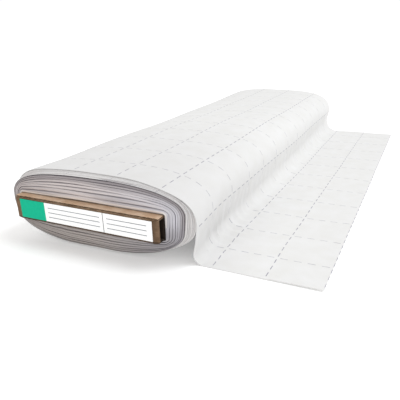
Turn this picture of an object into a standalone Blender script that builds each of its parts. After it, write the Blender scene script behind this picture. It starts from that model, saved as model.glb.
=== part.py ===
"""Flat-wound roll of fusible interfacing on a folded cardboard board, with its loose end laid out beside it.

Metres, +Z up, +Y along the board and away from its labelled end, +X towards the loose end.
The origin is under the middle of the whole object, on the surface that it rests on.
"""

import math
from functools import lru_cache

import bmesh
import bpy
import numpy as np

# Printed grid and cloth
GRID = 0.0635
CLOTH_WIDTH = 11.5 * GRID
CLOTH_THICKNESS = 0.0012
GAP = 0.0003

# Board that the cloth is wound on, and its label
BOARD_WIDTH = 0.209
BOARD_THICKNESS = 0.0305
BOARD_OFF_MIDDLE = 0.0035
BOARD_MIDDLE_Z = 0.0478
BOARD_STICKS_OUT = 0.011
BOARD_EDGE_ROUND = 0.0008
SIDE_OPENING_BEHIND = 0.0036
SIDE_OPENING_LENGTH = 0.0070
SIDE_OPENING_HEIGHT = 0.0175
SIDE_OPENING_DEPTH = 0.020
SIDE_OPENING_RISE = 0.0015
LABEL_WIDTH = 0.1937
LABEL_HEIGHT = 0.0243
LABEL_BELOW_MIDDLE = 0.0008
LABEL_THICKNESS = 0.0005
LABEL_FROM_LEFT = 0.0072

# Section of the wound cloth: for each quarter its half width, its height from the middle of the cloth, and the
# powers that shape the one and the other
CLOTH_MIDDLE_Z = 0.0515
RIGHT_HALF_WIDTH = 0.1300
LEFT_HALF_WIDTH = 0.1310
CROWN_HEIGHT = 0.0445
BELLY_DEPTH = 0.0526
RIGHT_CROWN = (RIGHT_HALF_WIDTH, CROWN_HEIGHT, 0.57, 0.80)
LEFT_CROWN = (LEFT_HALF_WIDTH, CROWN_HEIGHT, 0.75, 0.67)
LEFT_BELLY = (LEFT_HALF_WIDTH, BELLY_DEPTH, 0.79, 0.84)
RIGHT_BELLY = (RIGHT_HALF_WIDTH, BELLY_DEPTH, 0.94, 0.84)
LONG_SWELL = 0.0011
SHORT_SWELL = 0.0006

# Each loose turn's depth, and how far its edge stands forward at the labelled end; at the other end, a share
# of that. The depths are scaled by one number on top and another below, between them by the upward normal
TURN_STEPS = ((0.0034, 0.0160), (0.0025, 0.0108), (0.0016, 0.0066), (0.0008, 0.0030))
TURN_EDGE = 0.0004
TURN_WANDER = 0.0011
FAR_END_SHARE = 0.25
TURNS_ON_TOP = 0.2
TURNS_BELOW = 1.6
FAN_STARTS = 0.55
FAN_IS_FULL = -0.3

# Loose end: it leaves the right flank at this angle of the section and covers this much of the outline
LEAVES_AT = math.radians(-2.8)
SHEET_WRAP = 0.335
UNDER_TURN_FADES = 0.090
LEAN_IN = math.radians(10.0)
BEND_RADIUS_NEAR = 0.012
BEND_RADIUS_FAR = 0.026
CUT_EDGE_X = 0.275

# How finely the surfaces are divided
AROUND_SHEET = 46
AROUND_REST = 38
ALONG = 22
BEND_STEPS = 12
FLAT_STEPS = 7

# Colours, from a light box photograph
CLOTH_COLOUR = (0.82, 0.82, 0.83, 1.0)
KRAFT_COLOUR = (0.30, 0.19, 0.11, 1.0)
LABEL_COLOUR = (0.90, 0.91, 0.90, 1.0)

# Places along and across, with the whole object centred on the origin
PACK_FORWARD = TURN_STEPS[0][1]
STANDS_FORWARD = PACK_FORWARD + BOARD_STICKS_OUT + GAP + LABEL_THICKNESS
NEAR_SELVAGE = (STANDS_FORWARD - CLOTH_WIDTH) / 2
FAR_SELVAGE = NEAR_SELVAGE + CLOTH_WIDTH
BOARD_FRONT = NEAR_SELVAGE - PACK_FORWARD - BOARD_STICKS_OUT
BOARD_BACK = FAR_SELVAGE - PACK_FORWARD * FAR_END_SHARE
ROLL_X = (LEFT_HALF_WIDTH + LONG_SWELL + SHORT_SWELL - CUT_EDGE_X) / 2
BOARD_X = ROLL_X - BOARD_OFF_MIDDLE


def clear_scene():
    """Removes what a new Blender file holds."""
    for item in list(bpy.data.objects):
        bpy.data.objects.remove(item, do_unlink=True)


def make_material(name, colour, roughness):
    """Returns a plain Principled material."""
    material = bpy.data.materials.new(name)
    material.use_nodes = True
    shader = material.node_tree.nodes["Principled BSDF"]
    shader.inputs["Base Color"].default_value = colour
    shader.inputs["Roughness"].default_value = roughness
    return material


def add_object(name, mesh, material, smooth_angle=None):
    """Puts a mesh into the scene as a named object."""
    mesh.materials.append(material)
    item = bpy.data.objects.new(name, mesh)
    bpy.context.scene.collection.objects.link(item)
    if smooth_angle is not None:
        mesh.shade_smooth()
        mesh.set_sharp_from_angle(angle=smooth_angle)
    return item


def section_at(angles):
    """Outline of the wound cloth: blunt flanks, a low crown, and a belly pressed flat where it rests.

    In each quarter x is a half width times the cosine to a power, and z is a height times the sine to a power.
    """
    cosine = np.cos(angles)
    sine = np.sin(angles)
    quarters = [(sine >= 0) & (cosine >= 0), (sine >= 0) & (cosine < 0), (sine < 0) & (cosine < 0)]
    columns = zip(RIGHT_CROWN, LEFT_CROWN, LEFT_BELLY, RIGHT_BELLY)
    half_width, height, x_power, z_power = [np.select(quarters, column[:3], column[3]) for column in columns]
    x = half_width * np.sign(cosine) * np.abs(cosine) ** x_power
    z = height * np.sign(sine) * np.abs(sine) ** z_power + CLOTH_MIDDLE_Z
    return np.stack([x, np.maximum(z, 0.0)], axis=-1)


@lru_cache
def outline_table():
    """The section's points by their way along it, from where the loose end leaves the flank, over the top."""
    points = section_at(LEAVES_AT + np.linspace(0, 2 * math.pi, 2161))
    steps = np.linalg.norm(np.diff(points, axis=0), axis=1)
    return np.concatenate([[0.0], np.cumsum(steps)]), points


def outline_length():
    """Length of the section's outline."""
    return float(outline_table()[0][-1])


def outline_at(ways):
    """Points of the section at these ways along it."""
    table_ways, points = outline_table()
    around = outline_length()
    x = np.interp(ways, table_ways, points[:, 0], period=around)
    z = np.interp(ways, table_ways, points[:, 1], period=around)
    return np.stack([x, z], axis=-1)


def outline_normals(ways):
    """Outward normals of the section, from points 3 mm to each side."""
    along = outline_at(ways + 0.003) - outline_at(ways - 0.003)
    along /= np.linalg.norm(along, axis=-1, keepdims=True)
    return np.stack([along[..., 1], -along[..., 0]], axis=-1)


def unevenness(ways, y):
    """How far the cloth swells out along its length: two slow waves, none where it rests on the surface."""
    fade = np.clip((outline_at(ways)[..., 1] - 0.012) / 0.03, 0.0, 1.0)
    turn = 2 * math.pi * ways / outline_length()
    long_wave = LONG_SWELL * np.sin(2 * math.pi * y / 0.62 + 1.1 + turn)
    short_wave = SHORT_SWELL * np.sin(2 * math.pi * y / 0.27 + 2.0 * turn)
    return fade * (long_wave + short_wave)


def seat_depth(ways):
    """Depth of the turn under the loose end: a full cloth and a gap, running out below the right flank."""
    full = CLOTH_THICKNESS + GAP
    fading = 1 - (outline_length() - ways) / UNDER_TURN_FADES
    return np.where(ways <= SHEET_WRAP, full, full * np.clip(fading, 0.0, 1.0))


def roll_surface(ways, y, depth):
    """Points of the wound cloth at one place along the roll, at a depth under its outer turn."""
    out = unevenness(ways, y) - depth
    return outline_at(ways) + outline_normals(ways) * out[..., None]


def along_stations():
    """Places along the roll that the wound cloth and the loose end share."""
    return np.linspace(NEAR_SELVAGE, FAR_SELVAGE, ALONG)


def sheet_ways():
    """Ways along the outline that the loose end covers, from the right flank to the left."""
    return np.linspace(0.0, SHEET_WRAP, AROUND_SHEET)


def roll_ways():
    """Ways all around the outline, with the loose end's own among them."""
    rest = np.linspace(SHEET_WRAP + 0.0025, outline_length(), AROUND_REST, endpoint=False)
    return np.concatenate([sheet_ways(), rest])


def place_ring(section, y):
    """Places a section across the roll at a place, or a place for each point, along it."""
    places = np.broadcast_to(y, len(section))
    return [(ROLL_X + x, place, z) for (x, z), place in zip(section, places)]


def tube_from_rings(rings):
    """Joins rings of points, each with as many as the last, into an open tube."""
    shape = bmesh.new()
    loops = [[shape.verts.new(point) for point in ring] for ring in rings]
    count = len(loops[0])
    for near, far in zip(loops[:-1], loops[1:]):
        for index in range(count):
            following = (index + 1) % count
            shape.faces.new((near[index], near[following], far[following], far[index]))
    return shape, loops


def finish_mesh(name, shape):
    """Turns the faces outwards and returns the mesh."""
    mesh = bpy.data.meshes.new(name)
    bmesh.ops.recalc_face_normals(shape, faces=shape.faces)
    shape.to_mesh(mesh)
    shape.free()
    return mesh


def turn_wander(ways, turn):
    """How far the edge of a loose turn wanders along the roll: the tight pack's end is flat."""
    around = 2 * math.pi * ways / outline_length()
    return TURN_WANDER * min(turn, 1) * np.sin(2 * around + 1.9 * turn)


def turn_fan(ways):
    """The loose turns lie close on top and fan out below: a smooth step as the outline turns downwards."""
    upward = outline_normals(ways)[:, 1]
    turned = np.clip((FAN_STARTS - upward) / (FAN_STARTS - FAN_IS_FULL), 0.0, 1.0)
    return TURNS_ON_TOP + (TURNS_BELOW - TURNS_ON_TOP) * turned ** 2 * (3 - 2 * turned)


def roll_rings():
    """Rings of the wound cloth from its near end to its far end, with the stepped turns at both."""
    ways = roll_ways()
    seat = seat_depth(ways)
    fan = turn_fan(ways)
    rings = []

    def add(depth, y, turn=0, edge=0.0):
        section = roll_surface(ways, y, seat + depth * fan + edge)
        rings.append(place_ring(section, y + turn_wander(ways, turn)))

    for turn, (depth, forward) in enumerate(TURN_STEPS):
        front = NEAR_SELVAGE - forward
        add(depth, front, turn, TURN_EDGE)
        add(depth, front + TURN_EDGE, turn)
        if turn + 1 < len(TURN_STEPS):
            add(depth, NEAR_SELVAGE - TURN_STEPS[turn + 1][1], turn + 1)
    add(TURN_STEPS[-1][0], NEAR_SELVAGE + TURN_EDGE)
    for y in along_stations()[1:-1]:
        add(0.0, y)
    add(0.0, FAR_SELVAGE - TURN_EDGE)
    for depth, forward in reversed(TURN_STEPS):
        add(depth, FAR_SELVAGE - forward * FAR_END_SHARE)
    return rings


def add_box(name, size, centre):
    """A plain box as a mesh object that is not yet finished."""
    shape = bmesh.new()
    bmesh.ops.create_cube(shape, size=1.0)
    bmesh.ops.scale(shape, vec=size, verts=shape.verts)
    bmesh.ops.translate(shape, vec=centre, verts=shape.verts)
    return finish_mesh(name, shape)


def cut_box(item, name, size, centre):
    """Cuts a box out of an object with an exact Boolean."""
    cutter = bpy.data.objects.new(name, add_box(name, size, centre))
    cutter.hide_render = True
    cutter.display_type = "WIRE"
    bpy.context.scene.collection.objects.link(cutter)
    cut = item.modifiers.new("cut", "BOOLEAN")
    cut.operation = "DIFFERENCE"
    cut.solver = "EXACT"
    cut.object = cutter


def build_wound_roll():
    """The wound cloth, with the slot that the board fills."""
    cloth = make_material("wound_cloth", CLOTH_COLOUR, 0.85)
    shape, loops = tube_from_rings(roll_rings())
    shape.faces.new(list(reversed(loops[0])))
    shape.faces.new(loops[-1])
    item = add_object("wound_roll", finish_mesh("wound_roll", shape), cloth, math.radians(35))
    slot = (BOARD_WIDTH + 2 * GAP, 2 * CLOTH_WIDTH, BOARD_THICKNESS + 2 * GAP)
    cut_box(item, "board_slot", slot, (BOARD_X, 0.0, BOARD_MIDDLE_Z))
    return item


def sheet_path(y):
    """Middle line of the loose end at one place along the roll, from its hidden start to its cut edge.

    It lies on the wound cloth from the left flank over the top to the right flank, then falls a little
    inwards, turns on an arc that widens towards the far end, and lies flat as far as its straight cut edge.
    """
    over = sheet_ways()[::-1]
    wrapped = roll_surface(over, y, np.full(over.shape, CLOTH_THICKNESS / 2))
    leave = wrapped[-1]
    radius = BEND_RADIUS_NEAR + (BEND_RADIUS_FAR - BEND_RADIUS_NEAR) * (y - NEAR_SELVAGE) / CLOTH_WIDTH
    floor = CLOTH_THICKNESS / 2
    drop = (leave[1] - floor - radius * (1 + math.sin(LEAN_IN))) / math.cos(LEAN_IN)
    foot = leave + np.array([-math.sin(LEAN_IN), -math.cos(LEAN_IN)]) * drop
    centre = foot + radius * np.array([math.cos(LEAN_IN), -math.sin(LEAN_IN)])
    turned = np.linspace(-LEAN_IN, math.pi / 2, BEND_STEPS + 1)
    bend = centre + radius * np.stack([-np.cos(turned), -np.sin(turned)], axis=-1)
    flat_x = np.linspace(centre[0], CUT_EDGE_X, FLAT_STEPS + 1)[1:]
    flat = np.stack([flat_x, np.full(FLAT_STEPS, floor)], axis=-1)
    fall = (leave + foot) / 2
    return np.concatenate([wrapped, fall[None], bend, flat])


def sheet_ring(y):
    """Outline of the loose end's thickness at one place along the roll."""
    middle = sheet_path(y)
    along = np.gradient(middle, axis=0)
    along /= np.linalg.norm(along, axis=-1, keepdims=True)
    out = np.stack([-along[:, 1], along[:, 0]], axis=-1) * CLOTH_THICKNESS / 2
    outline = np.concatenate([middle + out, (middle - out)[::-1]])
    outline[:, 1] = np.maximum(outline[:, 1], 0.0)
    return place_ring(outline, y)


def build_loose_end():
    """The outermost turn and its loose end, one sheet with a selvage at each end of the roll."""
    cloth = make_material("loose_cloth", CLOTH_COLOUR, 0.85)
    shape, loops = tube_from_rings([sheet_ring(y) for y in along_stations()])
    last = len(loops[0]) - 1
    for loop in (loops[0], loops[-1]):
        for index in range(len(loop) // 2 - 1):
            shape.faces.new((loop[index], loop[index + 1], loop[last - index - 1], loop[last - index]))
    return add_object("loose_end", finish_mesh("loose_end", shape), cloth, math.radians(35))


def build_board():
    """The folded board, open at the right side of the end that stands out of the cloth."""
    kraft = make_material("kraft_board", KRAFT_COLOUR, 0.9)
    shape = bmesh.new()
    bmesh.ops.create_cube(shape, size=1.0)
    bmesh.ops.scale(shape, vec=(BOARD_WIDTH, BOARD_BACK - BOARD_FRONT, BOARD_THICKNESS), verts=shape.verts)
    bmesh.ops.bevel(shape, geom=shape.edges, offset=BOARD_EDGE_ROUND, segments=2, affect="EDGES", profile=0.5)
    middle = (BOARD_X, (BOARD_FRONT + BOARD_BACK) / 2, BOARD_MIDDLE_Z)
    bmesh.ops.translate(shape, vec=middle, verts=shape.verts)
    item = add_object("board", finish_mesh("board", shape), kraft, math.radians(35))
    opening_y = BOARD_FRONT + SIDE_OPENING_BEHIND + SIDE_OPENING_LENGTH / 2
    opening = (BOARD_X + BOARD_WIDTH / 2, opening_y, BOARD_MIDDLE_Z + SIDE_OPENING_RISE)
    cut_box(item, "side_opening", (2 * SIDE_OPENING_DEPTH, SIDE_OPENING_LENGTH, SIDE_OPENING_HEIGHT), opening)
    return item


def build_end_label():
    """The paper label on the board's near end."""
    paper = make_material("label_paper", LABEL_COLOUR, 0.5)
    middle_x = BOARD_X - BOARD_WIDTH / 2 + LABEL_FROM_LEFT + LABEL_WIDTH / 2
    middle = (middle_x, BOARD_FRONT - GAP - LABEL_THICKNESS / 2, BOARD_MIDDLE_Z - LABEL_BELOW_MIDDLE)
    strip = add_box("end_label", (LABEL_WIDTH, LABEL_THICKNESS, LABEL_HEIGHT), middle)
    return add_object("end_label", strip, paper)


def main():
    """Builds every piece."""
    clear_scene()
    build_wound_roll()
    build_loose_end()
    build_board()
    build_end_label()


main()
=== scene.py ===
"""Flat-wound roll of fusible interfacing on a folded cardboard board, with its loose end laid out beside it.

Metres, +Z up, +Y along the board and away from its labelled end, +X towards the loose end. Every place below
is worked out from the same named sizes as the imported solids.
"""

import math

import bpy
import numpy as np
from mathutils import Matrix, Vector


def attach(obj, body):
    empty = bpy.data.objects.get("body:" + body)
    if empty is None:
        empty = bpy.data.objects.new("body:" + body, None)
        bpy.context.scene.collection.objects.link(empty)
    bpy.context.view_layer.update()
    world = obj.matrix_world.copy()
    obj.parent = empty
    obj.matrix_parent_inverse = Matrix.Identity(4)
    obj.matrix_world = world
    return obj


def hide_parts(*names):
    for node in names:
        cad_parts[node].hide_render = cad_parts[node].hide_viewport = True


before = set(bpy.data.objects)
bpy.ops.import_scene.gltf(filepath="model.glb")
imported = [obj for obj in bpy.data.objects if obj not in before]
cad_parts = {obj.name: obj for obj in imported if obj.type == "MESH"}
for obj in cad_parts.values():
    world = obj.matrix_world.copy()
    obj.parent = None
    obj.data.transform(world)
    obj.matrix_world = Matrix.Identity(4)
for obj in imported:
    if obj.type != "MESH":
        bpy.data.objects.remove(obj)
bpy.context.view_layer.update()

# Wound cloth.
# About forty turns of thin nonwoven interfacing, wound flat around a board and pressed into a lens by its
# own weight. The tight inner turns stand forward of the loose outer ones, and the board's slot runs right
# through.

GRID = 0.0635
CLOTH_WIDTH = 11.5 * GRID
SEAT = 0.0012
BOARD_WIDTH = 0.209
BOARD_THICKNESS = 0.0305
BOARD_OFF_MIDDLE = 0.0035
BOARD_MIDDLE_Z = 0.0478
BOARD_STICKS_OUT = 0.011
LABEL_THICKNESS = 0.0005
GAP = 0.0003
CLOTH_MIDDLE_Z = 0.0515
RIGHT_CROWN = (0.1300, 0.0445, 0.57, 0.80)
LEFT_CROWN = (0.1310, 0.0445, 0.75, 0.67)
LEFT_BELLY = (0.1310, 0.0526, 0.79, 0.84)
RIGHT_BELLY = (0.1300, 0.0526, 0.94, 0.84)
LONG_SWELL = 0.0011
SHORT_SWELL = 0.0006
LONG_WAVE = 0.62
SHORT_WAVE = 0.27
LONG_WAVE_PHASE = 1.1
SWELL_STARTS_AT = 0.012
SWELL_RISES_OVER = 0.03
NORMAL_REACH = 0.003
LEAVES_AT = math.radians(-2.8)
SHEET_WRAP = 0.335
UNDER_TURN_FADES = 0.090
CUT_EDGE_X = 0.275
PACK_DEPTH = 0.0034
PACK_FORWARD = 0.0160
FAR_END_SHARE = 0.25
TURNS_ON_TOP = 0.2
TURNS_BELOW = 1.6
FAN_STARTS = 0.55
FAN_IS_FULL = -0.3
MORE_ON_LEFT = 1.2
MORE_UPPER_LEFT = 1.25
LESS_LOWER_RIGHT = 0.7
FLARE = 0.0055
FLARE_ALONG = 0.055
FLARE_AROUND = 0.028
LIFT = 0.0025
LIFT_FROM_LEAVING = 0.262
LIFT_AROUND = 0.032
NEAR_SELVAGE = (PACK_FORWARD + BOARD_STICKS_OUT + GAP + LABEL_THICKNESS - CLOTH_WIDTH) / 2
FAR_SELVAGE = NEAR_SELVAGE + CLOTH_WIDTH
BOARD_FRONT = NEAR_SELVAGE - PACK_FORWARD - BOARD_STICKS_OUT
ROLL_X = (LEFT_CROWN[0] + LONG_SWELL + SHORT_SWELL - CUT_EDGE_X) / 2
BOARD_X = ROLL_X - BOARD_OFF_MIDDLE


def section_at(angles):
    """In each quarter x is a half width times a power of the cosine, and z a height times one of the sine."""
    cosine, sine = np.cos(angles), np.sin(angles)
    quarters = [(sine >= 0) & (cosine >= 0), (sine >= 0) & (cosine < 0), (sine < 0) & (cosine < 0)]
    columns = zip(RIGHT_CROWN, LEFT_CROWN, LEFT_BELLY, RIGHT_BELLY)
    half_width, height, x_power, z_power = [np.select(quarters, column[:3], column[3]) for column in columns]
    x = half_width * np.sign(cosine) * np.abs(cosine) ** x_power
    z = height * np.sign(sine) * np.abs(sine) ** z_power + CLOTH_MIDDLE_Z
    return np.stack([x, np.maximum(z, 0.0)], axis=-1)


section_points = section_at(LEAVES_AT + np.linspace(0, 2 * math.pi, 2161))
section_ways = np.concatenate([[0.0], np.cumsum(np.linalg.norm(np.diff(section_points, axis=0), axis=1))])
AROUND = float(section_ways[-1])


def outline_at(ways):
    """Points of the section by their way along it, over the top from where the loose end leaves it."""
    x, z = (np.interp(ways, section_ways, section_points[:, i], period=AROUND) for i in (0, 1))
    return np.stack([x, z], axis=-1)


def outline_normals(ways):
    """Outward normals of the section: the step between points 3 mm to each side, turned by a quarter."""
    along = outline_at(ways + NORMAL_REACH) - outline_at(ways - NORMAL_REACH)
    along /= np.linalg.norm(along, axis=-1, keepdims=True)
    return np.stack([along[..., 1], -along[..., 0]], axis=-1)


def unevenness(ways, y):
    """Swell of the cloth: a long and a short sine wave along the roll, none where it rests on the surface."""
    fade = np.clip((outline_at(ways)[..., 1] - SWELL_STARTS_AT) / SWELL_RISES_OVER, 0.0, 1.0)
    turn = 2 * math.pi * ways / AROUND
    long_wave = LONG_SWELL * np.sin(2 * math.pi * y / LONG_WAVE + LONG_WAVE_PHASE + turn)
    short_wave = SHORT_SWELL * np.sin(2 * math.pi * y / SHORT_WAVE + 2.0 * turn)
    return fade * (long_wave + short_wave)


def seat_depth(ways):
    """Depth of the turn under the loose end: a cloth's thickness, fading to nothing below the right flank."""
    fading = np.clip(1 - (AROUND - ways) / UNDER_TURN_FADES, 0.0, 1.0)
    return SEAT * np.where(ways <= SHEET_WRAP, 1.0, fading)


def turn_fan(ways):
    """The loose turns lie close on top and fan out below: a smooth step as the outline turns downwards.

    They stand wider apart on the left flank, by a power of the normal. The product of its parts makes them
    wider apart still at the upper left, and closer at the lower right.
    """
    normals = outline_normals(ways)
    turned = np.clip((FAN_STARTS - normals[..., 1]) / (FAN_STARTS - FAN_IS_FULL), 0.0, 1.0)
    left = np.clip(-normals[..., 0], 0.0, 1.0) ** 4
    product = np.clip(-2 * normals[..., 0] * normals[..., 1], 0.0, 1.0)
    upper_left = product * (normals[..., 0] < 0)
    lower_right = product * (normals[..., 0] > 0)
    fan = TURNS_ON_TOP + (TURNS_BELOW - TURNS_ON_TOP) * turned ** 2 * (3 - 2 * turned)
    return fan + MORE_ON_LEFT * left + MORE_UPPER_LEFT * upper_left - LESS_LOWER_RIGHT * lower_right


def flare(ways, y):
    """How far the outer turns spring off the roll beside the labelled end.

    It is a bell curve around the right flank and one around the upper left, times one along the roll.
    """
    from_leaving = np.minimum(ways, AROUND - ways)
    flank = FLARE * np.exp(-(from_leaving / FLARE_AROUND) ** 2)
    upper_left = LIFT * np.exp(-((ways - LIFT_FROM_LEAVING) / LIFT_AROUND) ** 2)
    return (flank + upper_left) * np.exp(-((y - NEAR_SELVAGE) / FLARE_ALONG) ** 2)


def roll_surface(ways, y, depth):
    """Points of the section, moved along its normals by the swell less a depth under the outer turn."""
    return outline_at(ways) + outline_normals(ways) * (unevenness(ways, y) - depth)[..., None]


SHARP_FROM = math.radians(42)


def grid_mesh(name, points, maps, finishes, row_finish=None, closed_rows=False, closed_columns=False,
              capped=False):
    """Mesh of a grid of points, with a four-sided face between each two rows and columns.

    maps holds UV maps with one more row or column where the grid is closed. row_finish is the finish of each
    strip between two rows. A capped end joins each point of its row to the one across the thickness.
    """
    rows, columns = points.shape[:2]
    row, column = np.meshgrid(
        np.arange(rows - (not closed_rows)), np.arange(columns - (not closed_columns)), indexing="ij")
    row, column = row.ravel(), column.ravel()
    corner_rows = np.stack([row, row, row + 1, row + 1], axis=-1)
    corner_columns = np.stack([column, column + 1, column + 1, column], axis=-1)
    finish = np.zeros(len(row), int) if row_finish is None else np.asarray(row_finish)[row]
    if capped:
        index = np.arange(columns // 2 - 1)
        across = np.stack([index, columns - 1 - index, columns - 2 - index, index + 1], axis=-1)
        for end in (0, rows - 1):
            corner_rows = np.concatenate([corner_rows, np.full(across.shape, end)])
            corner_columns = np.concatenate([corner_columns, across if end == 0 else across[:, ::-1]])
        finish = np.concatenate([finish, np.zeros(2 * len(index), int)])
    faces = corner_rows % rows * columns + corner_columns % columns
    flat = points.reshape(-1, 3)
    a, b, c, d = (flat[faces[:, i]] for i in range(4))
    inside_out = np.einsum("ij,ij->", a, np.cross(b, c)) + np.einsum("ij,ij->", a, np.cross(c, d)) < 0
    if inside_out:
        faces, corner_rows, corner_columns = faces[:, ::-1], corner_rows[:, ::-1], corner_columns[:, ::-1]
    mesh = bpy.data.meshes.new(name)
    mesh.from_pydata(flat.tolist(), [], faces.tolist())
    for map_name, values in maps.items():
        uv = mesh.uv_layers.new(name=map_name)
        uv.data.foreach_set("uv", values[corner_rows, corner_columns].astype(np.float32).ravel())
    mesh.polygons.foreach_set("material_index", finish.astype(np.int32))
    for material in finishes:
        mesh.materials.append(material)
    mesh.shade_smooth()
    mesh.set_sharp_from_angle(angle=SHARP_FROM)
    piece = bpy.data.objects.new(name, mesh)
    bpy.context.scene.collection.objects.link(piece)
    return piece


def linear(hex_colour):
    """Linear colour of an sRGB hex value: a power of each part, or a fraction of it where it is dark."""
    parts = [int(hex_colour[i:i + 2], 16) / 255 for i in (1, 3, 5)]
    return tuple(p / 12.92 if p <= 0.04045 else ((p + 0.055) / 1.055) ** 2.4 for p in parts) + (1.0,)


def add_node(tree, kind, inputs=None, **settings):
    """Adds a node, sets its settings, and gives each named or numbered input a value or a link."""
    node = tree.nodes.new(kind)
    for key, value in settings.items():
        setattr(node, key, value)
    for key, value in (inputs or {}).items():
        if isinstance(value, bpy.types.NodeSocket):
            tree.links.new(value, node.inputs[key])
        else:
            node.inputs[key].default_value = value
    return node


def calculate(tree, operation, *values):
    """Output of one step of arithmetic on sockets and numbers."""
    return add_node(tree, "ShaderNodeMath", dict(enumerate(values)), operation=operation).outputs[0]


def ramp(tree, value, start, end, low=0.0, high=1.0, **settings):
    """Output that runs from low to high as the value runs from start to end, and stays there past both."""
    inputs = {0: value, 1: start, 2: end, 3: low, 4: high}
    return add_node(tree, "ShaderNodeMapRange", inputs, **settings).outputs[0]


def blend(tree, share, first, second):
    """Output that mixes two colours, each a socket or a hex value."""
    first, second = (linear(colour) if isinstance(colour, str) else colour for colour in (first, second))
    return add_node(tree, "ShaderNodeMix", {0: share, 6: first, 7: second}, data_type="RGBA").outputs[2]


def noise(tree, place, scale, detail=2.0):
    """Output of a noise texture at a place, where scale is the number of features to a unit of place."""
    inputs = {"Vector": place, "Scale": scale, "Detail": detail}
    return add_node(tree, "ShaderNodeTexNoise", inputs).outputs[0]


def roughen(tree, shader, height, strength, distance):
    """Gives a shader a bump, from a height, a strength and a distance in metres."""
    bump = add_node(tree, "ShaderNodeBump", {"Height": height, "Strength": strength, "Distance": distance})
    tree.links.new(bump.outputs[0], shader.inputs["Normal"])


def start_finish(name, **sockets):
    """Starts a material whose one shader has these constant sockets."""
    material = bpy.data.materials.new(name)
    material.use_nodes = True
    tree = material.node_tree
    shader = tree.nodes["Principled BSDF"]
    for key, value in sockets.items():
        shader.inputs[key.replace("_", " ")].default_value = value
    return material, tree, shader


# Nonwoven polyester interfacing, fused fibres with a fine adhesive dusting: matt white, faintly cloudy,
# with a printed grid of violet-grey dashes that is fainter across the cloth. Painted shade greys the loose
# turns towards the right flank and the cloth towards the labelled end. Fibres are far finer than a pixel,
# so the bump is drawn 1.5 mm coarse.
CLOUD_SIZE = 0.022
FIBRE_SIZE = 0.0015
DASH_PERIOD = GRID / 4
DASH_LENGTH = 0.0088
LINE_WIDTH = 0.0011
FIRST_CROSS_LINE = NEAR_SELVAGE + 0.0490
LINE_BLUR = 0.0002
DASH_BLUR = 0.0004
CROSS_LINE_INK = 0.68
INK_WEAR_SIZE = 0.004
# Painted shade towards the labelled end: how far along the roll it reaches and how strong it is
PAINTED_SHADE_LENGTH = 0.32
PAINTED_SHADE_BY = 0.28
nonwoven, tree, shader = start_finish("printed_nonwoven_interfacing", Roughness=0.88, Sheen_Weight=0.12,
                                      Specular_IOR_Level=0.25)
run = add_node(tree, "ShaderNodeUVMap", uv_map="cloth")
split = add_node(tree, "ShaderNodeSeparateXYZ", {0: run.outputs[0]})
way, place = split.outputs[0], split.outputs[1]
place = calculate(tree, "SUBTRACT", place, FIRST_CROSS_LINE)
ink = noise(tree, run.outputs[0], 1 / INK_WEAR_SIZE, 2.0)
masks = []
for across_line, along_line in ((way, place), (place, way)):
    off = calculate(tree, "PINGPONG", across_line, GRID / 2)
    line = ramp(tree, off, LINE_WIDTH / 2 + LINE_BLUR, LINE_WIDTH / 2 - LINE_BLUR)
    beat = calculate(tree, "PINGPONG", along_line, DASH_PERIOD / 2)
    edge = (DASH_PERIOD - DASH_LENGTH) / 2
    dash = ramp(tree, beat, edge - DASH_BLUR, edge + DASH_BLUR)
    masks.append(calculate(tree, "MULTIPLY", line, dash))
masks[1] = calculate(tree, "MULTIPLY", masks[1], CROSS_LINE_INK)
mask = calculate(tree, "MAXIMUM", masks[0], masks[1])
worn = ramp(tree, ink, 0.3, 0.7, 0.45, 0.85)
mask = calculate(tree, "MULTIPLY", mask, worn)
cloud = noise(tree, run.outputs[0], 1 / CLOUD_SIZE, 4.0)
white = blend(tree, cloud, "#dfdedb", "#eaeaeb")
turn_layer = add_node(tree, "ShaderNodeSeparateXYZ", {
    0: add_node(tree, "ShaderNodeUVMap", uv_map="turns").outputs[0]}).outputs[1]
# Painted shade on the loose turns, strongest towards the right flank where the flared outer turn shades them
in_loose_turns = ramp(tree, turn_layer, 0.0, -0.5)
around = calculate(tree, "MULTIPLY", way, 2 * math.pi / AROUND)
to_flank = ramp(tree, calculate(tree, "COSINE", around), -0.2, 1.0, 0.12, 0.75)
# Painted shade towards the labelled end, off the flat part of the loose end
painted_shade_near_end = ramp(tree, split.outputs[1], NEAR_SELVAGE + PAINTED_SHADE_LENGTH, NEAR_SELVAGE, 0.0, PAINTED_SHADE_BY)
off_the_flat = ramp(tree, way, -0.11, -0.04)
painted_shade_near_end = calculate(tree, "MULTIPLY", painted_shade_near_end, off_the_flat)
painted_shade = calculate(tree, "MULTIPLY", in_loose_turns, to_flank)
painted_shade = calculate(tree, "MAXIMUM", painted_shade, painted_shade_near_end)
# Painted shade: the cloth greyed where the masks above are strong
white = blend(tree, painted_shade, white, "#b9b7b8")
printed = blend(tree, mask, white, "#66627c")
tree.links.new(printed, shader.inputs["Base Color"])
fibre = noise(tree, run.outputs[0], 1 / FIBRE_SIZE, 3.0)
roughen(tree, shader, fibre, 0.25, 0.0004)

# The selvages of the turns at the roll's ends: the same cloth seen edge on, greyer in the outer turns.
# Painted light and shade: a painted warm shade, darker and pinkish, towards the left, a painted cool light,
# bluish, towards the right, painted shade in browner grey on the lower turns under the board and in darker
# grey at the lower right, a painted dark shade line in each gap, and a painted shadow line where the
# innermost turn meets the board. A turn is under half a millimetre thick, too fine to show, so soft
# streaks stand for the turns between the gaps. Pairs are where a shade starts and where it is full: layer
# numbers, counted from the outer turn to the board, or heights.
OUTER_TURNS_GREY = (3.4, 0.6)
INNERMOST_TURN_PALE = (6.3, 6.5)
BOARD_SHADOW = (6.78, 6.88)
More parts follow.
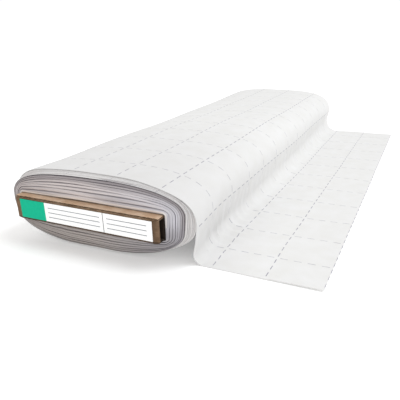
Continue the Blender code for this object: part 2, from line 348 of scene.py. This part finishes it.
# Heights where the painted shade on the lower turns starts and where it is full
PAINTED_SHADE_LOW_HEIGHTS = (0.052, 0.026)
LOWER_RIGHT_PAINTED_SHADE = (0.058, 0.036)
selvages, tree, shader = start_finish("stacked_interfacing_selvages", Roughness=0.9, Specular_IOR_Level=0.2)
turns = add_node(tree, "ShaderNodeUVMap", uv_map="turns")
split = add_node(tree, "ShaderNodeSeparateXYZ", {0: turns.outputs[0]})
way, layer = split.outputs[0], split.outputs[1]
spread = add_node(tree, "ShaderNodeCombineXYZ",
                  {0: calculate(tree, "MULTIPLY", way, 7.0), 1: calculate(tree, "MULTIPLY", layer, 0.9)})
drift = noise(tree, spread.outputs[0], 1.0, 2.0)
# Painted shade: a dark line in each gap between the turns
from_gap = calculate(tree, "PINGPONG", layer, 0.5)
gap_line = ramp(tree, from_gap, 0.17, 0.02)
gap_depth = ramp(tree, drift, 0.35, 0.65, 0.35, 0.9)
gap_shade = calculate(tree, "MULTIPLY", gap_line, gap_depth)
streak_place = add_node(tree, "ShaderNodeCombineXYZ",
                        {0: calculate(tree, "MULTIPLY", way, 12.0),
                         1: calculate(tree, "MULTIPLY", layer, 2.6)})
streaks = noise(tree, streak_place.outputs[0], 1.0, 1.0)
streak = ramp(tree, streaks, 0.5, 0.3, 0.0, 0.4)
shade = calculate(tree, "MAXIMUM", gap_shade, streak)
body = blend(tree, drift, "#bfb7b7", "#dfd7d5")
object_place = add_node(tree, "ShaderNodeSeparateXYZ",
                        {0: add_node(tree, "ShaderNodeTexCoord").outputs["Object"]})
# Painted cool light: bluish towards the right, where the cool light falls; the ramp also places the painted
# shade at the lower right
to_right = ramp(tree, object_place.outputs[0], ROLL_X, ROLL_X + 0.13, 0.0, 0.8)
body = blend(tree, to_right, body, "#d0d1da")
outer_turns = ramp(tree, layer, *OUTER_TURNS_GREY, 0.0, 0.95)
body = blend(tree, outer_turns, body, "#979193")
# Painted warm shade: darker and pinkish towards the left
painted_warm_shade_to_left = ramp(tree, object_place.outputs[0], ROLL_X, ROLL_X - 0.10, 0.0, 0.4)
body = blend(tree, painted_warm_shade_to_left, body, "#a39b99")
# Painted shade: browner grey on the lower turns under the board
painted_shade_low = ramp(tree, object_place.outputs[2], *PAINTED_SHADE_LOW_HEIGHTS, 0.0, 0.82, interpolation_type="SMOOTHSTEP")
body = blend(tree, painted_shade_low, body, "#a69e99")
# Painted shade: darker bluish grey at the lower right of the end
low = ramp(tree, object_place.outputs[2], *LOWER_RIGHT_PAINTED_SHADE, interpolation_type="SMOOTHSTEP")
painted_shade_lower_right = calculate(tree, "MULTIPLY", low, to_right)
body = blend(tree, painted_shade_lower_right, body, "#9a989f")
innermost = ramp(tree, layer, *INNERMOST_TURN_PALE, 0.0, 0.6)
above = calculate(tree, "GREATER_THAN", object_place.outputs[2], BOARD_MIDDLE_Z)
innermost = calculate(tree, "MULTIPLY", innermost, above)
body = blend(tree, innermost, body, "#f2ebe4")
loose_turns = calculate(tree, "LESS_THAN", layer, -0.4)
body = blend(tree, loose_turns, body, "#d6d3d2")
paler = calculate(tree, "MAXIMUM", loose_turns, painted_shade_low)
paler = ramp(tree, paler, 0.0, 1.0, 1.0, 0.4)
shade = calculate(tree, "MULTIPLY", shade, paler)
edge_colour = blend(tree, shade, body, "#67616c")
# Painted shadow line where the innermost turn meets the board
at_board = ramp(tree, layer, *BOARD_SHADOW, 0.0, 0.9)
edge_colour = blend(tree, at_board, edge_colour, "#4d3d31")
tree.links.new(edge_colour, shader.inputs["Base Color"])
roughen(tree, shader, streaks, 0.2, 0.0012)

# Rows of an end, from the board outwards: depth under the outer turn on the right flank, dip below that,
# share of the way to the board, how far the row's turn steps forward, how far the row lies back in a
# groove, layer number, bundle, finish of the next strip. Bundles of the tight pack have rounded lips with
# grooves between them, a deep groove parts its outermost turn from the rest, and the loose turns step back
# one by one.
BUNDLE_WIDTHS = (0.10, 0.09, 0.13, 0.12, 0.14, 0.19, 0.23)
BUNDLE_LIP = ((0.0, 0.0020), (0.06, 0.0007), (0.2, 0.0001), (0.5, 0.0), (0.8, 0.0001), (0.94, 0.0007))
RIM_FROM, RIM_TO = 0.012, 0.048
RIM_LIP = 0.0012
DEEP_GROOVE = 0.0035
EDGE_BEND = 0.0004
CLOTH_BEGINS = 0.0002
LOOSE_TURNS = 6
SELVAGE_THICKNESS = 0.0004
GROOVE_DIP = 0.0005
GROOVE_LENGTH = 0.0006
SLOT_ROUND = 0.0012
RIGHT_LAGS = 0.38
PACK_BUNDLES = len(BUNDLE_WIDTHS)
rng = np.random.default_rng(11)
borders = RIM_TO + (1 - RIM_TO) * np.concatenate([[0.0], np.cumsum(BUNDLE_WIDTHS)]) / sum(BUNDLE_WIDTHS)
bundle_phases = rng.uniform(0, 2 * math.pi, (PACK_BUNDLES, 3))
end_rows = []
for bundle in range(PACK_BUNDLES - 1, -1, -1):
    inner, outer = borders[bundle + 1], borders[bundle]
    for within, back in BUNDLE_LIP:
        fraction = inner + (outer - inner) * within
        end_rows.append((PACK_DEPTH, 0.0, fraction, PACK_FORWARD, back, bundle + 1 - within, bundle, 1))
rim_rows = ((RIM_TO, RIM_LIP, 0.0), (RIM_TO, DEEP_GROOVE, 0.0),
            (RIM_FROM, DEEP_GROOVE, -0.02), (RIM_FROM, EDGE_BEND, -0.5))
for fraction, back, layer in rim_rows:
    end_rows.append((PACK_DEPTH, 0.0, fraction, PACK_FORWARD, back, layer, 0, 1))
end_rows.append((PACK_DEPTH, 0.0, 0.0, PACK_FORWARD, CLOTH_BEGINS, -0.5, 0, 0))
for turn in range(1, LOOSE_TURNS + 1):
    under, depth = (PACK_DEPTH * (1 - (turn - step) / LOOSE_TURNS) for step in (1, 0))
    forward = PACK_FORWARD * (1 - turn / LOOSE_TURNS)
    end_rows.append((under, 0.0, 0.0, forward, -GROOVE_LENGTH, -0.02 - turn, -turn, 1))
    end_rows.append((under, GROOVE_DIP, 0.0, forward, 0.0, -0.02 - turn, -turn, 1))
    end_rows.append((depth, SELVAGE_THICKNESS * 0.9, 0.0, forward, 0.0, -0.3 - turn, -turn, 1))
    end_rows.append((depth, 0.0, 0.0, forward, CLOTH_BEGINS, -0.5 - turn, -turn, 0))
end_rows = np.array(end_rows)

ROLL_WAYS = 300
BODY_STEP = 0.011
BODY_FROM_SELVAGE = 0.004
AFTER_WRAP = 0.0004
WOBBLE = 0.012
RAGGED_TURNS = 0.0008
RAGGED_PACK = 0.0009
CREASE_X = -0.050
CREASE_DEPTH = 0.0022
CREASE_WIDTH = 0.014
CREASE_WAVE = 0.006
roll_ways = np.concatenate([
    np.linspace(0.0, SHEET_WRAP, ROLL_WAYS // 2),
    np.linspace(SHEET_WRAP + AFTER_WRAP, AROUND, ROLL_WAYS - ROLL_WAYS // 2, endpoint=False)])


def crease(x, z):
    """Sag of the inner turns away from the board, left on its underside: a cosine under a bell curve."""
    beside = x - CREASE_X
    bell = np.exp(-(beside / CREASE_WIDTH) ** 2)
    return CREASE_DEPTH * bell * np.cos(beside / CREASE_WAVE) * (z < BOARD_MIDDLE_Z)


def end_points(share, selvage, into):
    """Rows of an end, as points: a place by way and depth, pulled towards the board by a fraction.

    The pull goes to the nearest point of the board's outline, so the inner turns follow the board and the
    outer ones the roll. share scales how far the turns step, and into is the way into the roll, +Y or -Y.
    """
    ways = roll_ways[None, :]
    depth, dip, fraction, forward, back, _, bundle, _ = (column[:, None] for column in end_rows.T)
    turn = 2 * math.pi * ways / AROUND
    phase = bundle_phases[np.clip(bundle, 0, PACK_BUNDLES - 1).astype(int)[:, 0]]
    loose = fraction == 0
    sway = 0.5 * np.sin(turn + phase[:, :1]) + 0.35 * np.sin(2 * turn + phase[:, 1:2]) + 0.25 * np.sin(
        3 * turn + phase[:, 2:])
    loosened = 1 - depth / PACK_DEPTH
    seat = seat_depth(ways) * (1 - share * forward / PACK_FORWARD)
    outer = roll_surface(ways, selvage, seat + depth * turn_fan(ways) + dip - loosened * flare(ways, selvage))
    half = np.array([BOARD_WIDTH / 2, BOARD_THICKNESS / 2]) - SLOT_ROUND + GAP
    middle = np.array([-BOARD_OFF_MIDDLE, BOARD_MIDDLE_Z])
    nearest = np.clip(outer, middle - half, middle + half)
    apart = outer - nearest
    inner = nearest + SLOT_ROUND * apart / np.linalg.norm(apart, axis=-1, keepdims=True)
    wobble = WOBBLE * np.sin(4 * turn + 1.7 * bundle) * (fraction > 0) * (fraction < 1)
    pulled = outer + (inner - outer) * (fraction + wobble)[..., None]
    near_board = np.clip((fraction - 0.55) / 0.3, 0, 1) * np.clip((1 - fraction) / 0.05 + 0.5, 0, 1)
    pulled[..., 1] += near_board * crease(pulled[..., 0], pulled[..., 1])
    ragged = np.where(loose, RAGGED_TURNS * np.sin(2 * turn - 1.9 * bundle) * (forward > 0),
                      RAGGED_PACK * sway)
    facing_right = np.clip(1.5 * outline_normals(ways)[..., 0], 0.0, 1.0)
    forward = forward * (1 - RIGHT_LAGS * facing_right * (1 - fraction))
    y = selvage - share * (forward + into * ragged) + into * back
    return np.concatenate([ROLL_X + pulled[..., :1], y[..., None], pulled[..., 1:]], axis=-1)


body_y = np.arange(NEAR_SELVAGE + BODY_FROM_SELVAGE, FAR_SELVAGE - BODY_FROM_SELVAGE, BODY_STEP)[:, None]
body_section = roll_surface(roll_ways[None, :], body_y, seat_depth(roll_ways) - flare(roll_ways, body_y))
body_points = np.concatenate([
    ROLL_X + body_section[..., :1], np.broadcast_to(body_y, body_section.shape[:2])[..., None],
    body_section[..., 1:]], axis=-1)
near_points = end_points(1.0, NEAR_SELVAGE, 1)
far_points = end_points(FAR_END_SHARE, FAR_SELVAGE, -1)[::-1]
roll_points = np.concatenate([near_points, body_points, far_points])
# The belly never goes under the surface that it rests on
roll_points[..., 2] = np.maximum(roll_points[..., 2], 0.0)
column_ways = np.concatenate([roll_ways, [AROUND]])
row_y = np.concatenate([near_points[:, 0, 1], body_y[:, 0], far_points[:, 0, 1], near_points[:1, 0, 1]])
cloth_map = np.stack(np.broadcast_arrays(column_ways[None, :], row_y[:, None]), axis=-1)
layer_number = np.concatenate([end_rows[:, 5], np.zeros(len(body_y)), end_rows[::-1, 5], end_rows[:1, 5]])
turns_map = np.stack(np.broadcast_arrays(column_ways[None, :], layer_number[:, None]), axis=-1)
row_finish = np.concatenate([end_rows[:, 7], np.zeros(len(body_y)), end_rows[-2::-1, 7], [1]]).astype(int)
wound_cloth = grid_mesh("wound_cloth", roll_points, {"cloth": cloth_map, "turns": turns_map},
                        [nonwoven, selvages], row_finish, closed_rows=True, closed_columns=True)
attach(wound_cloth, "root")
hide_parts("wound_roll")

# Loose end.
# The outermost turn of the same cloth: it wraps the roll from the left flank over the top, falls off the
# right flank in a soft bend and lies flat on the surface, cut straight along a printed line.

SHEET_THICKNESS = 0.0009
FLAT_HEIGHT = 0.0012
LEAN_IN = math.radians(10.0)
BEND_RADIUS_NEAR = 0.012
BEND_RADIUS_FAR = 0.026
WRAP_STEPS = 120
FALL_STEPS = 12
BEND_STEPS = 34
FLAT_STEPS = 44
SHEET_ROWS = 150
PUCKER_HEIGHT = 0.0026
PUCKER_WAVES = (0.0135, 0.021)
PUCKER_RISE = 0.02
PUCKERS_END = 0.095
PUCKER_FADE = 0.05
PUCKERED_AT = 0.09
PUCKERED_OVER = 0.075
REST_SWELL = 0.0007
REST_SWELL_WAVE = 0.21
REST_STARTS = 0.06
REST_RISE = 0.05
SLIP = 0.0045
SLIP_FROM_LEAVING = 0.062
SLIP_AROUND = 0.035
SLIP_ALONG = 0.05


def sheet_rows(y):
    """Outer surface of the loose end at places along the roll, as (place, step, x and z), and its ways.

    It follows the outline over the roll, falls straight, bends in a circular arc and runs on flat.
    """
    over = np.linspace(SHEET_WRAP, 0.0, WRAP_STEPS)[None, :]
    wrapped = roll_surface(over, y, -flare(over, y))
    leave = wrapped[:, -1]
    radius = (BEND_RADIUS_NEAR + (BEND_RADIUS_FAR - BEND_RADIUS_NEAR) * (y - NEAR_SELVAGE) / CLOTH_WIDTH)[:,
                                                                                                          0]
    lean = np.array([-math.sin(LEAN_IN), -math.cos(LEAN_IN)])
    drop = (leave[:, 1] - FLAT_HEIGHT - radius * (1 + math.sin(LEAN_IN))) / math.cos(LEAN_IN)
    fall = leave[:, None] + lean * (drop[:, None] * np.linspace(0, 1, FALL_STEPS + 1)[1:])[..., None]
    centre = fall[:, -1] + radius[:, None] * np.array([math.cos(LEAN_IN), -math.sin(LEAN_IN)])
    turned = np.linspace(-LEAN_IN, math.pi / 2, BEND_STEPS + 1)[1:]
    arc = np.stack([-np.cos(turned), -np.sin(turned)], axis=-1)
    bend = centre[:, None] + radius[:, None, None] * arc
    along = np.linspace(0, 1, FLAT_STEPS + 1)[1:]
    flat_x = centre[:, :1] + (CUT_EDGE_X - centre[:, :1]) * along
    flat = np.stack([flat_x, np.full(flat_x.shape, FLAT_HEIGHT)], axis=-1)
    path = np.concatenate([wrapped, fall, bend, flat], axis=1)
    steps = np.linalg.norm(np.diff(path[:, WRAP_STEPS - 1:], axis=1), axis=-1)
    run_out = np.cumsum(steps, axis=1) / steps.sum(axis=1, keepdims=True)
    ways = np.concatenate([np.broadcast_to(over, (len(y), WRAP_STEPS)), -3 * GRID * run_out], axis=1)
    return path, ways


def puckers(ways, y):
    """Soft ridges down the fall: waves of 13 and 21 mm along the roll, strongest near the labelled end.

    They rise from nothing at the leave line, are highest a third of the way down, and fade into the flat.
    """
    out = -ways
    down = np.clip(out / PUCKER_RISE, 0, 1) * np.clip((PUCKERS_END - out) / PUCKER_FADE, 0, 1)
    from_end = y - NEAR_SELVAGE
    strong = 0.25 + 0.75 * np.exp(-((from_end - PUCKERED_AT) / PUCKERED_OVER) ** 2)
    wave = 0.6 * np.sin(2 * math.pi * (from_end + 0.15 * out) / PUCKER_WAVES[0] + 5 * np.sin(from_end / 0.04))
    wave = wave + 0.4 * np.sin(2 * math.pi * (from_end - 0.2 * out) / PUCKER_WAVES[1] + 2.0)
    return PUCKER_HEIGHT * down * strong * np.clip(wave, -0.2, 1.0)


def resting_waves(ways, y):
    """Lift of the flat end off the surface, up to 1.4 mm: one plus a product of sines, none at the bend."""
    out = np.clip((-ways - REST_STARTS) / REST_RISE, 0, 1)
    return REST_SWELL * out * (1 + np.sin(2 * math.pi * y / REST_SWELL_WAVE + 40 * ways) * np.cos(y / 0.06))


def edge_forward(ways, y):
    """How far the outermost turn slips forward over the right shoulder: a bell curve around, fading along."""
    bell = np.exp(-((ways - SLIP_FROM_LEAVING) / SLIP_AROUND) ** 2)
    return SLIP * bell * np.exp(-(y - NEAR_SELVAGE) / SLIP_ALONG)


sheet_y = np.linspace(NEAR_SELVAGE, FAR_SELVAGE, SHEET_ROWS)[:, None]
top, sheet_ways = sheet_rows(sheet_y)
along = np.gradient(top, axis=1)
along /= np.linalg.norm(along, axis=-1, keepdims=True)
outward = np.stack([-along[..., 1], along[..., 0]], axis=-1)
top = top + outward * puckers(sheet_ways, sheet_y)[..., None]
top[..., 1] += resting_waves(sheet_ways, sheet_y)
under = top - outward * SHEET_THICKNESS
ring = np.concatenate([top, under[:, ::-1]], axis=1)
ring[..., 1] = np.maximum(ring[..., 1], 0.0)
ring_ways = np.concatenate([sheet_ways, sheet_ways[:, ::-1], sheet_ways[:, :1]], axis=1)
ring_y = sheet_y - edge_forward(ring_ways[:, :-1], sheet_y)
sheet_points = np.concatenate([ROLL_X + ring[..., :1], ring_y[..., None], ring[..., 1:]], axis=-1)
sheet_map = np.stack(np.broadcast_arrays(ring_ways, sheet_y), axis=-1)
loose_cloth = grid_mesh("loose_cloth", sheet_points, {"cloth": sheet_map}, [nonwoven], closed_columns=True,
                        capped=True)
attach(loose_cloth, "root")
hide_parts("loose_end")

# Board.
# One sheet of brown corrugated board, scored and folded into a flat box. Its top panel shows its raw fluted
# edge, an end flap closes the front, and the right side of the end that stands out is open.

LINER = 0.0004
PANEL = 0.0027
FLUTE_PITCH = 0.0079
FLAP = 0.0022
EDGE_ROUND = 0.0012
HALF_FLUTE_PAPER = 0.0002
FOLD_CLEARANCE = 0.0001
TOP_FOLD = 0.0015
LEFT_FOLD = 0.004
KRAFT_FIBRE = 0.0016
BLOTCH_SIZE = 0.014
LEFT = BOARD_X - BOARD_WIDTH / 2
RIGHT = BOARD_X + BOARD_WIDTH / 2
TOP = BOARD_MIDDLE_Z + BOARD_THICKNESS / 2
BOTTOM = BOARD_MIDDLE_Z - BOARD_THICKNESS / 2
CLOTH_FRONT = NEAR_SELVAGE - PACK_FORWARD

# Brown kraft liner, matt and mottled with short fibres that lie across the board, darker along the lower
# edge. Painted light makes it lighter where it faces up and painted shade darker on its other faces, and
# painted shade makes it nearly black in the hollow behind the flap at the labelled end.
kraft, tree, shader = start_finish("kraft_corrugated_board", Roughness=0.86, Specular_IOR_Level=0.3)
place = add_node(tree, "ShaderNodeTexCoord").outputs["Object"]
stretched = add_node(tree, "ShaderNodeMapping", {"Vector": place, "Scale": (0.3, 1.0, 1.0)}).outputs[0]
fibres = noise(tree, stretched, 1 / KRAFT_FIBRE, 4.0)
blotches = noise(tree, place, 1 / BLOTCH_SIZE, 3.0)
mottle = calculate(tree, "MULTIPLY_ADD", fibres, 0.4, blotches)
tone = ramp(tree, mottle, 0.5, 0.9)
facing = add_node(tree, "ShaderNodeSeparateXYZ",
                  {0: add_node(tree, "ShaderNodeNewGeometry").outputs["Normal"]})
# Painted light and shade: a lit colour where the board faces up, a shaded colour on its other faces
painted_light_facing_up = ramp(tree, facing.outputs[2], 0.2, 0.8)
painted_lit_top_colour = blend(tree, tone, "#c3a284", "#ddc4ac")
painted_shaded_side_colour = blend(tree, tone, "#5c4734", "#7f664f")
board_colour = blend(tree, painted_light_facing_up, painted_shaded_side_colour, painted_lit_top_colour)
from_front = add_node(tree, "ShaderNodeSeparateXYZ", {0: place}).outputs[1]
labelled_end = calculate(tree, "LESS_THAN", from_front, 0.0)
behind_flap = ramp(tree, from_front, BOARD_FRONT + FLAP, BOARD_FRONT + FLAP + 0.0004, 0.0, 0.9)
height = add_node(tree, "ShaderNodeSeparateXYZ", {0: place}).outputs[2]
low_edge = ramp(tree, height, BOTTOM + 0.0034, BOTTOM + 0.0020, 0.0, 0.7)
board_colour = blend(tree, low_edge, board_colour, "#35281d")
under_top = calculate(tree, "LESS_THAN", height, TOP - PANEL - 0.0002)
# Painted shade: nearly black in the hollow behind the end flap at the labelled end
painted_shade_hollow = calculate(tree, "MULTIPLY", behind_flap, under_top)
painted_shade_hollow = calculate(tree, "MULTIPLY", painted_shade_hollow, labelled_end)
board_colour = blend(tree, painted_shade_hollow, board_colour, "#17110c")
tree.links.new(board_colour, shader.inputs["Base Color"])
roughen(tree, shader, fibres, 0.4, 0.0004)


def slab(name, left, right, low, high, front, back, columns=2):
    """A slab of board: its upper side from right to left and its lower side back, carried from front to back.

    low, high, front and back are numbers or functions of the place across, so a slab can be fluted or ragged.
    """
    across = np.linspace(right, left, columns)
    low, high, front, back = (side(across) if callable(side) else np.full(columns, side)
                              for side in (low, high, front, back))
    ring_x = np.concatenate([across, across[::-1]])
    ring_z = np.concatenate([high, low[::-1]])
    ring_front, ring_back = (np.concatenate([side, side[::-1]]) for side in (front, back))
    points = np.stack(np.broadcast_arrays(ring_x, [ring_front, ring_back], ring_z), axis=-1)
    piece = grid_mesh(name, points, {}, [kraft], closed_columns=True, capped=True)
    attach(piece, "root")
    return piece


def rounded(side):
    """Rise of a rounded corner: a quarter circle over the last millimetre to each side."""
    def height(x):
        inside = np.minimum(x - LEFT, RIGHT - x)
        drop = EDGE_ROUND - np.sqrt(np.maximum(EDGE_ROUND ** 2 - np.maximum(EDGE_ROUND - inside, 0) ** 2, 0))
        return side - np.sign(side - BOARD_MIDDLE_Z) * drop
    return height


def torn(y, depth, seed):
    """A cut edge that wanders: five sine waves with seeded lengths and phases."""
    waves = np.random.default_rng(seed).uniform((0.004, 0.0), (0.03, 2 * math.pi), (5, 2))

    def edge(x):
        return y + depth * sum(np.sin(2 * math.pi * x / length + phase) for length, phase in waves) / 2.5
    return edge


def flute(offset):
    """The corrugated middle layer: a sine wave between the liners, eight millimetres from crest to crest."""
    middle = TOP - PANEL / 2
    height = PANEL / 2 - LINER - HALF_FLUTE_PAPER
    return lambda x: middle + offset + height * np.sin(2 * math.pi * (x - LEFT) / FLUTE_PITCH)


board_core = slab("board_core", LEFT, RIGHT, rounded(BOTTOM), rounded(TOP), CLOTH_FRONT,
                  FAR_SELVAGE - PACK_FORWARD * FAR_END_SHARE, columns=40)
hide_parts("board")
slab("board_top_liner", LEFT, RIGHT, TOP - LINER, rounded(TOP), torn(BOARD_FRONT + 0.0002, 0.0003, 3),
     CLOTH_FRONT, columns=160)
slab("board_flutes", LEFT, RIGHT, flute(-HALF_FLUTE_PAPER), flute(HALF_FLUTE_PAPER),
     torn(BOARD_FRONT + 0.0005, 0.0004, 5), CLOTH_FRONT, columns=420)
slab("board_inner_liner", LEFT, RIGHT, TOP - PANEL, TOP - PANEL + LINER,
     torn(BOARD_FRONT + 0.0003, 0.0003, 8), CLOTH_FRONT, columns=160)
slab("board_end_flap", LEFT, RIGHT, rounded(BOTTOM), TOP - PANEL - FOLD_CLEARANCE, BOARD_FRONT,
     BOARD_FRONT + FLAP, columns=40)
slab("board_bottom_panel", LEFT, RIGHT, rounded(BOTTOM), BOTTOM + PANEL, BOARD_FRONT + FLAP, CLOTH_FRONT,
     columns=40)
slab("board_top_fold", LEFT, RIGHT - 0.0008, TOP - PANEL - TOP_FOLD, TOP - PANEL - FOLD_CLEARANCE,
     BOARD_FRONT + FLAP, CLOTH_FRONT, columns=40)
slab("board_left_fold", LEFT + FOLD_CLEARANCE, LEFT + LEFT_FOLD, BOTTOM + EDGE_ROUND, TOP - EDGE_ROUND,
     BOARD_FRONT + FLAP, CLOTH_FRONT)

# Label.
# A strip of smooth printed paper glued to the board's end: a plain green block and a plain white field,
# parted by one upright line, with thin ruled lines to write on.

# Smooth uncoated paper with a faint even grain, so that its white and its solid green stay soft and matt
paper, tree, shader = start_finish("smooth_label_paper", Roughness=0.6, Specular_IOR_Level=0.1)
place = add_node(tree, "ShaderNodeTexCoord").outputs["Object"]
split = add_node(tree, "ShaderNodeSeparateXYZ", {0: place})
LABEL_WIDTH = 0.1937
LABEL_BELOW_MIDDLE = 0.0008
LABEL_LEFT = LEFT + 0.0072
GREEN_RIGHT = LABEL_LEFT + 0.0400
RULE_PITCH = 0.0060
RULE_WIDTH = 0.0009
DIVIDER = LABEL_LEFT + 0.1278
DIVIDER_WIDTH = 0.0008
RULE_MARGIN = 0.005
green = calculate(tree, "LESS_THAN", split.outputs[0], GREEN_RIGHT)
grain = noise(tree, place, 1 / 0.004, 3.0)
plain = blend(tree, grain, "#f6f6f5", "#ffffff")
block = blend(tree, grain, "#06ad86", "#10bd95")
from_divider = calculate(tree, "SUBTRACT", split.outputs[0], DIVIDER)
from_divider = calculate(tree, "ABSOLUTE", from_divider)
divider = calculate(tree, "LESS_THAN", from_divider, DIVIDER_WIDTH / 2)
from_middle = calculate(tree, "SUBTRACT", split.outputs[2], BOARD_MIDDLE_Z - LABEL_BELOW_MIDDLE)
from_rule = calculate(tree, "PINGPONG", from_middle, RULE_PITCH / 2)
rule = calculate(tree, "LESS_THAN", from_rule, RULE_WIDTH / 2)
inside = calculate(tree, "GREATER_THAN", from_divider, RULE_MARGIN)
rule = calculate(tree, "MULTIPLY", rule, inside)
rule_ends = ((GREEN_RIGHT + RULE_MARGIN, "GREATER_THAN"), (LABEL_LEFT + LABEL_WIDTH - 0.007, "LESS_THAN"))
for edge, side in rule_ends:
    inside = calculate(tree, side, split.outputs[0], edge)
    rule = calculate(tree, "MULTIPLY", rule, inside)
height = calculate(tree, "ABSOLUTE", from_middle)
inside = calculate(tree, "LESS_THAN", height, RULE_PITCH * 1.5)
rule = calculate(tree, "MULTIPLY", rule, inside)
plain = blend(tree, rule, plain, "#7c8087")
colour = blend(tree, divider, plain, "#3c4046")
colour = blend(tree, green, colour, block)
tree.links.new(colour, shader.inputs["Base Color"])
bpy.data.objects["end_label"].material_slots[0].material = paper

# Studio.
# A plain white floor that runs out of view, a faintly warm white surround, one soft high light, faintly
# cool, behind the right shoulder of the roll, and a weak one in front.

# White acrylic sheet lit from below, with a barely seen haze, so that it stays white up to the soft shadow
floor_finish, tree, shader = start_finish(
    "backlit_white_acrylic_floor", Roughness=0.95, Specular_IOR_Level=0.1,
    Emission_Color=(1.0, 1.0, 1.0, 1.0), Emission_Strength=0.14)
place = add_node(tree, "ShaderNodeTexCoord").outputs["Object"]
haze = noise(tree, place, 3.0)
pale = blend(tree, haze, "#fcfcfc", "#ffffff")
tree.links.new(pale, shader.inputs["Base Color"])
bpy.ops.mesh.primitive_plane_add(size=60.0, location=(0, 0, 0))
floor = bpy.context.active_object
floor.name = "floor"
floor.data.materials.append(floor_finish)

world = bpy.data.worlds.new("white_surround")
world.use_nodes = True
seen = add_node(world.node_tree, "ShaderNodeLightPath").outputs["Is Camera Ray"]
strength = ramp(world.node_tree, seen, 0.0, 1.0, 0.76, 1.05)
world.node_tree.nodes["Background"].inputs[0].default_value = (1.0, 0.99, 0.975, 1.0)
world.node_tree.links.new(strength, world.node_tree.nodes["Background"].inputs[1])
bpy.context.scene.world = world
key_data = bpy.data.lights.new("high_soft_light", "SUN")
key_data.angle = math.radians(38)
key_data.energy = 1.32
key_data.color = (0.93, 0.965, 1.0)
key = bpy.data.objects.new("high_soft_light", key_data)
key_from = Vector((0.5, 0.35, 0.85))
key.rotation_euler = (-key_from).to_track_quat("-Z", "Y").to_euler()
fill_data = bpy.data.lights.new("front_fill", "AREA")
fill_data.size = 1.0
fill_data.energy = 2.5
fill = bpy.data.objects.new("front_fill", fill_data)
fill.location = (-0.1, -1.6, 0.7)
to_label = Vector((ROLL_X, NEAR_SELVAGE, 0.05)) - fill.location
fill.rotation_euler = to_label.to_track_quat("-Z", "Y").to_euler()
for lamp in (key, fill):
    bpy.context.scene.collection.objects.link(lamp)

# Camera where the photograph was taken from, fitted to the printed grid, with a slightly wider view
CAMERA_RIGHT = Vector((0.89608, 0.44265, -0.03322))
CAMERA_AHEAD = Vector((-0.42417, 0.83181, -0.35801))
CAMERA_PLACE = Vector((0.34648 + ROLL_X, -0.76449, 0.25829))
CAMERA_ROLL = math.radians(-0.3)
camera_data = bpy.data.cameras.new("camera")
camera_data.sensor_width = 36.0
camera_data.lens = 41.6
camera_data.clip_start = 0.02
camera = bpy.data.objects.new("camera", camera_data)
bpy.context.scene.collection.objects.link(camera)
back = -CAMERA_AHEAD.normalized()
right = (CAMERA_RIGHT - back * CAMERA_RIGHT.dot(back)).normalized()
turn = Matrix.Rotation(CAMERA_ROLL, 3, back.cross(right))
axes = turn @ Matrix((right, back.cross(right), back)).transposed()
camera.matrix_world = Matrix.Translation(CAMERA_PLACE) @ axes.to_4x4()
bpy.context.scene.camera = camera
bpy.context.scene.view_settings.view_transform = "Standard"
